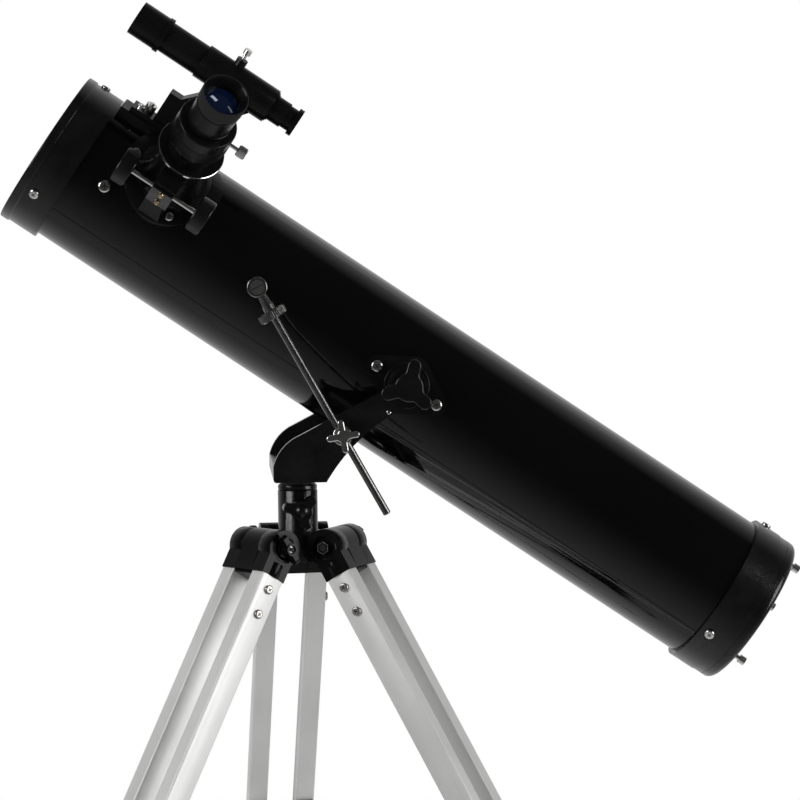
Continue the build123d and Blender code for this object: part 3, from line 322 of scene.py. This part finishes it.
def brushed_aluminium(name, matrix):
    """Satin anodised extrusion, drawn along its length."""
    material, tree, shader = new_material(name, Metallic=0.6, Anisotropic=0.3)
    lines = noise(tree, coordinates(tree, matrix, (900, 900, 6)), 1.0, 4.0)
    cloud = noise(tree, coordinates(tree), 18.0)
    tree.links.new(tint(tree, cloud, (0.72, 0.72, 0.71), (0.8, 0.8, 0.79)),
                   shader.inputs["Base Color"])
    tree.links.new(spread(tree, lines, 0.4, 0.54), shader.inputs["Roughness"])
    bump(tree, shader, lines, 0.04, 0.0001)
    return material


def bright_metal(name, dark, light, rough, grain=900.0):
    """Plated or turned metal with faint tooling marks."""
    material, tree, shader = new_material(name, Metallic=1.0)
    source = coordinates(tree)
    fine = noise(tree, source, grain, 3.0)
    tree.links.new(tint(tree, noise(tree, source, 120.0), dark, light), shader.inputs["Base Color"])
    tree.links.new(spread(tree, fine, *rough), shader.inputs["Roughness"])
    bump(tree, shader, fine, 0.05, 0.00008)
    return material


def coated_glass():
    """Lens glass with a blue coating, its base colour painted a lighter blue towards the rim as a
    painted sheen.
    """
    material, tree, shader = new_material("coated_glass", Coat_Weight=1.0, Coat_Roughness=0.02)
    # Painted sheen: the base colour turns a brighter blue where the surface turns away from the
    # view.
    painted_rim_sheen = add(tree, "ShaderNodeLayerWeight", Blend=0.35)
    cloud = noise(tree, coordinates(tree), 90.0)
    mix = add(tree, "ShaderNodeMath", operation="ADD")
    tree.links.new(painted_rim_sheen.outputs["Facing"], mix.inputs[0])
    tree.links.new(spread(tree, cloud, 0.0, 0.15), mix.inputs[1])
    tree.links.new(tint(tree, mix.outputs["Value"], (0.003, 0.008, 0.03), (0.012, 0.04, 0.16)),
                   shader.inputs["Base Color"])
    tree.links.new(spread(tree, cloud, 0.03, 0.07), shader.inputs["Roughness"])
    return material


GLOSS = gloss_enamel()
HAMMERED = hammered()
SATIN = black("satin_black", (0.003, 0.003, 0.0032), (0.005, 0.005, 0.0053), (0.2, 0.3), 1400.0,
              0.06, Specular_IOR_Level=0.16)
PLASTIC = black("moulded_black", (0.002, 0.002, 0.0021), (0.004, 0.004, 0.0042), (0.18, 0.27),
                900.0, 0.05, Specular_IOR_Level=0.5)
BRACKET = black("cast_black", (0.002, 0.002, 0.0021), (0.004, 0.004, 0.0042), (0.17, 0.25), 1000.0,
                0.05, Specular_IOR_Level=0.15)
STEEL = black("painted_steel", (0.004, 0.004, 0.004), (0.008, 0.008, 0.008), (0.35, 0.48), 800.0,
              0.15)
RUBBER = black("rubber", (0.006, 0.006, 0.006), (0.013, 0.013, 0.013), (0.62, 0.8), 1600.0, 0.3,
               Specular_IOR_Level=0.3)
# Near-black for screw recesses, sockets and a bolt's end: painted shade standing in for the shade
# inside them.
RECESS_SHADE = black("recess", (0.001, 0.001, 0.001), (0.003, 0.003, 0.003), (0.6, 0.8), 900.0, 0.1)
CHROME = bright_metal("nickel_plate", (0.8, 0.79, 0.77), (0.9, 0.89, 0.87), (0.1, 0.2))
STAINLESS = bright_metal("stainless", (0.4, 0.39, 0.36), (0.54, 0.52, 0.49), (0.24, 0.36))
# Nickel plate with its colour painted darker as shade, for the chrome rod and nut that reflect the
# dark room.
SHADED_CHROME = bright_metal("shaded_nickel", (0.2, 0.2, 0.2), (0.3, 0.3, 0.29), (0.2, 0.3))
BRASS = bright_metal("brass", (0.5, 0.4, 0.22), (0.65, 0.53, 0.3), (0.18, 0.3))
GREY = bright_metal("grey_plate", (0.085, 0.085, 0.085), (0.115, 0.115, 0.115), (0.28, 0.4), 700.0)
KNURL = bright_metal("knurled_grey", (0.014, 0.014, 0.015), (0.028, 0.028, 0.028), (0.3, 0.42))
MIRROR = bright_metal("mirror", (0.86, 0.87, 0.88), (0.92, 0.92, 0.93), (0.01, 0.03), 60.0)
GLASS = coated_glass()
RAILS = {letter: brushed_aluminium(f"aluminium_{letter}", leg_matrix(letter)) for letter in LEGS}

FINISH = {
    GLOSS: ("tube_shell",),
    HAMMERED: ("front_ring", "rear_ring", "mirror_cell", "yoke", "hub"),
    SATIN: ("spider", "trunnion_plates", "focuser_base", "drawtube", "eyepiece_holder", "eyepiece",
            "finder_bracket", "finder_tube"),
    PLASTIC: ("altitude_knob_near", "altitude_knob_far", "azimuth_knob", "focus_knobs", "tray"),
    CHROME: ("collimation_screws", "tube_screws", "set_screw", "pinion_shaft", "finder_screws",
             "rod_clamp", "star_knob"),
    # The rod and its nut are chrome, painted darker as shade.
    SHADED_CHROME: ("slow_motion_rod", "rod_nut"),
    GREY: ("pinion_cover",),
    MIRROR: ("primary_mirror", "secondary_mirror"),
    GLASS: ("eyepiece_lens", "finder_lenses"),
}
LEG_FINISH = {
    "leg_bracket": BRACKET, "wing_nut": BRACKET, "leg_clamps": PLASTIC, "lock_knob": PLASTIC,
    "foot": RUBBER, "leg_fasteners": STAINLESS, "brace": STEEL,
}


def paint(node, material):
    NODES[node].data.materials.clear()
    NODES[node].data.materials.append(material)


def paint_cad():
    for material, names in FINISH.items():
        for name in names:
            paint(name, material)
    for letter in LEGS:
        for name, material in LEG_FINISH.items():
            paint(f"{name}_{letter}", material)
        paint(f"leg_rails_{letter}", RAILS[letter])
        paint(f"lower_leg_{letter}", RAILS[letter])


def soften(node, width):
    """Rounds a CAD node's hard edges a little, as paint and moulding do."""
    obj = NODES[node]
    weld = obj.modifiers.new("weld", "WELD")
    weld.merge_threshold = 1e-5
    bevel = obj.modifiers.new("bevel", "BEVEL")
    bevel.width = width * MM
    bevel.segments = 2
    bevel.limit_method = "ANGLE"
    bevel.angle_limit = radians(35)
    bevel.harden_normals = True


# Screws.

def recess(name, matrix, body, reach, width, slotted=False, top=0.0):
    """Painted shade for the recess in a screw's head: a dark sheet standing just proud of it."""
    outline = rectangle(2 * reach, width) if slotted else cross(reach, width)
    bm = prism(outline, top - 0.3, top + 0.04)
    finish_mesh(name, bm, matrix, RECESS_SHADE, body)


def tube_recesses():
    """Painted shade in the recesses of the screws in the rings, the spider, the side plates and the
    focuser's flange, and in the slot of the rod's stud.
    """
    ring_top = RING_R + 2.4
    front, rear = RING_SCREW_STATIONS
    for turn in RING_SCREW_TURNS:
        spin = about_z(17 * (turn % 7))
        recess(f"front_screw_recess_{turn}", TUBE @ about_x(turn) @ shift(front) @ spin, "tube",
               1.9, 0.7, top=ring_top)
        recess(f"rear_screw_recess_{turn}", TUBE @ about_x(turn - 3) @ shift(rear) @ spin, "tube",
               1.9, 0.7, top=ring_top)
    for turn in VANE_TURNS:
        recess(f"vane_screw_recess_{turn}",
               TUBE @ about_x(turn) @ shift(SPIDER_STATION) @ about_z(30), "tube",
               2.6, 1.0, top=TUBE_R + 3.0)
    for turn in FLANGE_SCREWS:
        across = degrees(asin(FLANGE_SCREW_AT * sin(radians(turn)) / (TUBE_R + FLANGE_THICK)))
        along = FOCUSER_STATION + FLANGE_SCREW_AT * cos(radians(turn))
        recess(f"flange_screw_recess_{int(along)}",
               TUBE @ about_x(FOCUSER_ANGLE - across) @ shift(along) @ about_z(35), "tube",
               2.0, 0.75, top=TUBE_R + FLANGE_THICK - 0.4 + 2.4)
    for side in (90, 270):
        for end in (-PLATE_SCREW_AT, PLATE_SCREW_AT):
            recess(f"plate_screw_recess_{side}_{'front' if end < 0 else 'rear'}",
                   TUBE @ about_x(side) @ shift(HALF_LENGTH + end) @ about_z(20 + end), "tube",
                   2.1, 0.8, top=TUBE_R + 0.1 + 3.9 + 2.8)
    recess("rod_stud_slot", TUBE @ about_x(90) @ shift(HALF_LENGTH - ROD_STUD[0]) @ about_z(60),
           "tube", 4.8, 0.9, True, top=ROD_STUD[1])


# Painted shade in the cross recesses of the screws on the leg rails.
def leg_recesses():
    for letter in LEGS:
        for side in (-1, 1):
            for depth in RAIL_SCREW_DEPTHS:
                facing = leg_matrix(letter) @ shift(0, 0, -depth) @ about_x(-90 * side)
                recess(f"rail_screw_recess_{letter}_{'near' if side < 0 else 'far'}_{depth}",
                       facing @ about_z(depth), f"leg_{letter}", 1.8, 0.7, top=LEG_SKIN + 2.2)


def bracket_caps():
    """The cover of each leg's hinge: an arc round the lug, and a skirt down to the rails."""
    turns = [radians(step) for step in range(82, -38, -5)]
    outer = [(14.4 * cos(turn), 14.4 * sin(turn)) for turn in turns] + [(11.5, -24.4)]
    inner = [(13.2 * cos(turn), 13.2 * sin(turn)) for turn in turns] + [(10.0, -24.4)]
    for letter in LEGS:
        cap = prism(outer + inner[::-1], -11.2, 11.2)
        finish_mesh(f"bracket_cap_{letter}", cap, leg_matrix(letter) @ about_x(90), BRACKET,
                    f"leg_{letter}")


def bolt_trim():
    """Raised rims round the hinge bolts, a dark hexagon head with painted shade in its socket, and
    the bolt's end in its wing nut, drawn as a disc of painted shade in a chrome ring.
    """
    hexagon = [(5.2 * cos(pi * step / 3), 5.2 * sin(pi * step / 3)) for step in range(6)]
    for letter in LEGS:
        leg, body = leg_matrix(letter), f"leg_{letter}"
        for side, name in ((-1, "head"), (1, "nut")):
            facing = leg @ about_x(-90 * side)
            rim = lathe([(9.05, 26.8), (9.3, 27.5), (10.3, 27.5), (10.8, 26.8)], 96)
            finish_mesh(f"hinge_rim_{name}_{letter}", rim, facing, BRACKET, body)
        facing = leg @ about_x(90)
        finish_mesh(f"bolt_head_{letter}", prism(hexagon, 24.1, 28.7, 0.5), facing, PLASTIC, body)
        # Painted shade in the head's hexagon socket.
        socket = prism([(x * 0.5, y * 0.5) for x, y in hexagon], 28.5, 28.74)
        finish_mesh(f"bolt_socket_{letter}", socket, facing, RECESS_SHADE, body)
        facing = leg @ about_x(-90)
        # The bolt's end, painted dark as shade, inside a chrome ring.
        end = lathe([(0.01, 35.05), (2.95, 35.05), (2.95, 34.6)], 32, None, False)
        finish_mesh(f"bolt_end_{letter}", end, facing, RECESS_SHADE, body)
        ring = lathe([(1.9, 35.0), (2.0, 35.2), (2.6, 35.2), (2.9, 35.0)], 32)
        finish_mesh(f"bolt_end_ring_{letter}", ring, facing, CHROME, body)


def azimuth_cap():
    """Domed cap in the middle of the azimuth knob."""
    out = axis("azimuth_knob_turn")
    facing = frame_matrix(place("azimuth_knob_turn"), Vector((0, 0, 1)), out)
    dome = lathe([(0.01, 33.4), (2.2, 33.1), (4.0, 32.2), (5.2, 30.9), (5.4, 30.2)], 48,
                 None, False)
    finish_mesh("azimuth_cap", dome, facing, PLASTIC, "azimuth_knob")


def brass_screws():
    """Slotted brass heads on the focuser's cover plate, their slots painted shade."""
    for height in (PINION_HEIGHT - 0.6, PINION_HEIGHT + 9.6):
        matrix = FOCUSER @ shift(0, -41.0, height) @ about_x(90)
        dome = lathe([(0.01, 1.75), (1.5, 1.72), (2.4, 1.3), (2.7, 0.6), (2.72, 0.02)], 32,
                     None, False)
        finish_mesh(f"brass_head_{int(height)}", dome, matrix, BRASS, "tube")
        recess(f"brass_slot_{int(height)}", matrix @ about_z(25), "tube", 2.2, 0.6, True, top=1.72)


# Knurls and grips.

def diamond_knurl():
    """Crossed knurling round the eyepiece collar."""
    rows, ridges = 20, 96

    def wave(angle, row):
        if row in (0, rows):
            return -0.1
        height = row * pi * 2 / 6.5
        one = abs(sin(ridges * angle / 2 + height / 2))
        two = abs(sin(ridges * angle / 2 - height / 2))
        return 0.3 * min(one, two)

    profile = [(23.0, 116.8 + 13.0 * row / rows) for row in range(rows + 1)]
    band = lathe(profile, 576, wave, False)
    finish_mesh("collar_knurl", band, FOCUSER, KNURL, "drawtube", 80)


def straight_knurl(name, matrix, radius, low, high, ridges, depth, material, body):
    """A ribbed band between two heights, standing on a round grip."""
    def wave(angle, row):
        return depth * (0.5 + 0.5 * cos(ridges * angle)) if 0 < row < 5 else 0.0

    profile = [(radius - 0.4, low), (radius, low), (radius, low + 0.4), (radius, high - 0.4),
               (radius, high), (radius - 0.4, high)]
    finish_mesh(name, lathe(profile, ridges * 6, wave, False), matrix, material, body, 70)


def focus_grips():
    for side in (1, -1):
        matrix = frame_matrix(place("focus_turn"), OUT, ALONG * side)
        straight_knurl(f"focus_grip_{'rear' if side > 0 else 'front'}", matrix, FOCUS_KNOB_R,
                       29.4, 38.6, 64, 0.15, PLASTIC, "focus_shaft")


def set_screw_grip():
    matrix = FOCUSER @ shift(0, 0, COLLAR_MIDDLE) @ Matrix.Rotation(radians(90), 4, "Y")
    straight_knurl("set_screw_grip", matrix, 4.35, 30.4, 36.2, 28, 0.3, CHROME, "set_screw")


def rod_nut_grip():
    # Chrome painted darker as shade, like the nut.
    straight_knurl("rod_nut_grip", ROD, 10.75, 21.3, 26.6, 40, 0.45, SHADED_CHROME, "rod_nut")


def tube_seam():
    """The lapped seam that runs the length of the tube's lower side."""
    bm = bmesh.new()
    rows = []
    for angle, rise in ((127.0, 0.02), (127.25, 0.35), (131, 0.42), (135.0, 0.02)):
        turn = radians(angle)
        r = TUBE_R + rise
        rows.append([bm.verts.new((s, -r * sin(turn), r * cos(turn))) for s in SEAM_ENDS])
    for low, high in zip(rows, rows[1:]):
        bm.faces.new((low[0], low[1], high[1], high[0]))
    finish_mesh("tube_seam", bm, TUBE, GLOSS, "tube", 20)


def eye_cup():
    """Rubber sleeve round the flared cup, and two rings on the eyepiece's body."""
    sleeve = [(17.6, 165.6), (18.0, 165.8), (18.2, 167.0), (18.4, 176.6), (18.1, 178.0),
              (17.4, 178.3)]
    finish_mesh("eye_cup_sleeve", lathe(sleeve, 128), FOCUSER, RUBBER, "eyepiece", 50)
    for height in (143.0, 161.5):
        ring = lathe([(17.2, height), (17.7, height + 0.3), (17.7, height + 1.2),
                      (17.2, height + 1.5)], 128)
        finish_mesh(f"eyepiece_ring_{int(height)}", ring, FOCUSER, SATIN, "eyepiece")


def arm_screw():
    """A small grub screw in the near arm of the yoke, its recess painted shade."""
    spot = PIVOT + Vector((-14.6, -75.0, -19.9)) * MM
    facing = Matrix.Translation(spot) @ Matrix.Rotation(radians(90), 4, "X")
    dome = lathe([(0.01, 0.7), (1.0, 0.65), (1.6, 0.3), (1.7, -0.3)], 24, None, False)
    finish_mesh("arm_screw", dome, facing, CHROME, "yoke")
    recess("arm_screw_recess", facing, "yoke", 0.9, 0.4, top=0.65)


def focuser_rim():
    """Chrome rim round the top of the focuser."""
    rim = lathe([(25.9, 98.9), (26.5, 99.2), (26.5, 100.6), (25.9, 100.9)], 128)
    finish_mesh("focuser_rim", rim, FOCUSER, CHROME, "tube")


# Studio.

BACKDROP_GLOW = 0.65
FLOOR_GLOW = 0.57
ROOM_GLOW = 0.03


def lamp(name, spot, aim, size, energy, in_gloss=True):
    data = bpy.data.lights.new(name, "AREA")
    data.shape = "RECTANGLE"
    data.size, data.size_y = size
    data.energy = energy
    obj = bpy.data.objects.new(name, data)
    obj.location = spot
    obj.rotation_euler = (Vector(aim) - Vector(spot)).to_track_quat("-Z", "Y").to_euler()
    obj.visible_camera = False
    obj.visible_glossy = in_gloss
    bpy.context.scene.collection.objects.link(obj)
    return obj


def light_studio():
    """Two soft lamps in front, and one above that gloss doesn't show."""
    lamp("key", (-2.6, -1.6, 1.9), (0, 0, 0.7), (1.6, 1.8), 48)
    lamp("fill", (2.9, -1.4, 1.1), (0, 0, 0.6), (1.6, 2.0), 48)
    lamp("top", (0.4, 0.9, 3.0), (0, 0, 0.8), (2.4, 1.6), 40, False)


def linked_lamp(name, spot, aim, size, energy, node):
    """A lamp that lights one node only."""
    obj = lamp(name, spot, aim, size, energy)
    only = bpy.data.collections.new(f"{name}_only")
    only.objects.link(NODES[node])
    obj.light_linking.receiver_collection = only
    return obj


def lens_window():
    """A window that shows only in the eyepiece's lens."""
    lens = Vector(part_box("eyepiece_lens")[0]).lerp(Vector(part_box("eyepiece_lens")[1]), 0.5)
    view = Vector((0, 1, 0))
    mirrored = view - 2 * view.dot(OUT) * OUT
    for name, across, size, energy in (("window_left", -0.16, (0.07, 0.15), 0.16),
                                       ("window_right", 0.2, (0.04, 0.14), 0.03)):
        spot = lens + mirrored * 0.7 + ALONG * across
        window = linked_lamp(name, spot, lens, size, energy, "eyepiece_lens")
        window.data.color = (0.75, 0.85, 1.0)


def yoke_edge_light():
    """A strip that draws a highlight along the yoke's rounded edge."""
    linked_lamp("yoke_edge", (-1.05, -0.35, 1.4), (0, -0.07, 0.85), (0.3, 1.2), 14, "yoke")


def gloss_sky(tree):
    """What gloss sees: a dark room, brightening towards the white floor and backdrop."""
    direction = add(tree, "ShaderNodeTexCoord").outputs["Generated"]
    parts = add(tree, "ShaderNodeSeparateXYZ")
    tree.links.new(direction, parts.inputs["Vector"])
    behind = spread(tree, parts.outputs["Y"], 0.0, BACKDROP_GLOW, 0.1, 0.9)
    down = spread(tree, parts.outputs["Z"], 1.0, 0.0, -1.0, 0.0)
    floor = add(tree, "ShaderNodeMath", operation="POWER")
    tree.links.new(down, floor.inputs[0])
    floor.inputs[1].default_value = 2.2
    sky = add(tree, "ShaderNodeMath", operation="MULTIPLY_ADD")
    tree.links.new(floor.outputs["Value"], sky.inputs[0])
    sky.inputs[1].default_value = FLOOR_GLOW
    tree.links.new(behind, sky.inputs[2])
    lifted = add(tree, "ShaderNodeMath", operation="ADD")
    lifted.inputs[1].default_value = ROOM_GLOW
    tree.links.new(sky.outputs["Value"], lifted.inputs[0])
    return lifted.outputs["Value"]


def make_world():
    """White to the camera, and the dark room with its white backdrop to gloss."""
    world = bpy.data.worlds.new("studio")
    world.use_nodes = True
    tree = world.node_tree
    tree.nodes.clear()
    rays = add(tree, "ShaderNodeLightPath")
    gloss = add(tree, "ShaderNodeBackground", Color=(1, 1, 1, 1))
    tree.links.new(gloss_sky(tree), gloss.inputs["Strength"])
    plain = add(tree, "ShaderNodeBackground", Color=(1, 1, 1, 1), Strength=0.45)
    white = add(tree, "ShaderNodeBackground", Color=(1, 1, 1, 1), Strength=1.0)
    first = add(tree, "ShaderNodeMixShader")
    tree.links.new(rays.outputs["Is Glossy Ray"], first.inputs[0])
    tree.links.new(plain.outputs[0], first.inputs[1])
    tree.links.new(gloss.outputs[0], first.inputs[2])
    second = add(tree, "ShaderNodeMixShader")
    seen = add(tree, "ShaderNodeMath", operation="MAXIMUM")
    tree.links.new(rays.outputs["Is Camera Ray"], seen.inputs[0])
    tree.links.new(rays.outputs["Is Transmission Ray"], seen.inputs[1])
    tree.links.new(seen.outputs["Value"], second.inputs[0])
    tree.links.new(first.outputs[0], second.inputs[1])
    tree.links.new(white.outputs[0], second.inputs[2])
    out = add(tree, "ShaderNodeOutputWorld")
    tree.links.new(second.outputs[0], out.inputs["Surface"])
    bpy.context.scene.world = world


def make_floor():
    """A pale floor under the tripod that takes its shadow and fades out to white."""
    material = bpy.data.materials.new("pale_floor")
    material.use_nodes = True
    tree = material.node_tree
    tree.nodes.clear()
    source = add(tree, "ShaderNodeTexCoord").outputs["Object"]
    length = add(tree, "ShaderNodeVectorMath", operation="LENGTH")
    tree.links.new(source, length.inputs[0])
    fade = spread(tree, length.outputs["Value"], 0.35, 1.0, 0.5, 1.9)
    rays = add(tree, "ShaderNodeLightPath")
    seen = add(tree, "ShaderNodeMath", operation="MAXIMUM")
    tree.links.new(rays.outputs["Is Camera Ray"], seen.inputs[0])
    tree.links.new(rays.outputs["Is Transmission Ray"], seen.inputs[1])
    amount = add(tree, "ShaderNodeMath", operation="MULTIPLY")
    tree.links.new(seen.outputs["Value"], amount.inputs[0])
    tree.links.new(fade, amount.inputs[1])
    matte = add(tree, "ShaderNodeBsdfDiffuse", Color=(0.85, 0.85, 0.85, 1))
    glow = add(tree, "ShaderNodeEmission", Color=(1, 1, 1, 1), Strength=1.0)
    mix = add(tree, "ShaderNodeMixShader")
    tree.links.new(amount.outputs["Value"], mix.inputs[0])
    tree.links.new(matte.outputs[0], mix.inputs[1])
    tree.links.new(glow.outputs[0], mix.inputs[2])
    clear = add(tree, "ShaderNodeBsdfTransparent")
    last = add(tree, "ShaderNodeMixShader")
    tree.links.new(rays.outputs["Is Glossy Ray"], last.inputs[0])
    tree.links.new(mix.outputs[0], last.inputs[1])
    tree.links.new(clear.outputs[0], last.inputs[2])
    out = add(tree, "ShaderNodeOutputMaterial")
    tree.links.new(last.outputs[0], out.inputs["Surface"])
    bm = bmesh.new()
    bmesh.ops.create_circle(bm, cap_ends=True, segments=128, radius=2.6)
    mesh = bpy.data.meshes.new("floor")
    bm.to_mesh(mesh)
    bm.free()
    mesh.materials.append(material)
    floor = bpy.data.objects.new("floor", mesh)
    floor.location.z = -0.0005
    bpy.context.scene.collection.objects.link(floor)


CAMERA_TURN, CAMERA_RISE, CAMERA_ROLL = -3.25, 3.17, -0.8
CAMERA_AWAY = 2.8426


def make_camera():
    """Nearly square to the tube's side, from a little above the tripod's head."""
    data = bpy.data.cameras.new("camera")
    data.lens = 162.0
    data.sensor_width = 36.0
    data.clip_end = 50.0
    camera = bpy.data.objects.new("camera", data)
    azimuth, height, roll = (radians(turn) for turn in (CAMERA_TURN, CAMERA_RISE, CAMERA_ROLL))
    target = PIVOT + Vector((-1.6, 0, -14.65)) * MM
    back = Vector((sin(azimuth) * cos(height), -cos(azimuth) * cos(height), sin(height)))
    right = Vector((0, 0, 1)).cross(back).normalized()
    up = back.cross(right)
    side = right * cos(roll) + up * sin(roll)
    top = up * cos(roll) - right * sin(roll)
    matrix = Matrix((side, top, back)).transposed().to_4x4()
    matrix.translation = target + back * CAMERA_AWAY
    camera.matrix_world = matrix
    bpy.context.scene.collection.objects.link(camera)
    bpy.context.scene.camera = camera


paint_cad()
for name, width in (("yoke", 1.1), ("focuser_base", 0.3), ("finder_bracket", 0.4), ("hub", 0.6)):
    soften(name, width)
for letter in LEGS:
    soften(f"leg_bracket_{letter}", 0.6)
    soften(f"leg_clamps_{letter}", 0.6)
tube_recesses()
leg_recesses()
bracket_caps()
bolt_trim()
azimuth_cap()
brass_screws()
diamond_knurl()
focus_grips()
set_screw_grip()
rod_nut_grip()
tube_seam()
focuser_rim()
eye_cup()
arm_screw()
make_world()
make_floor()
light_studio()
lens_window()
yoke_edge_light()
make_camera()
bpy.context.scene.view_settings.view_transform = "Standard"
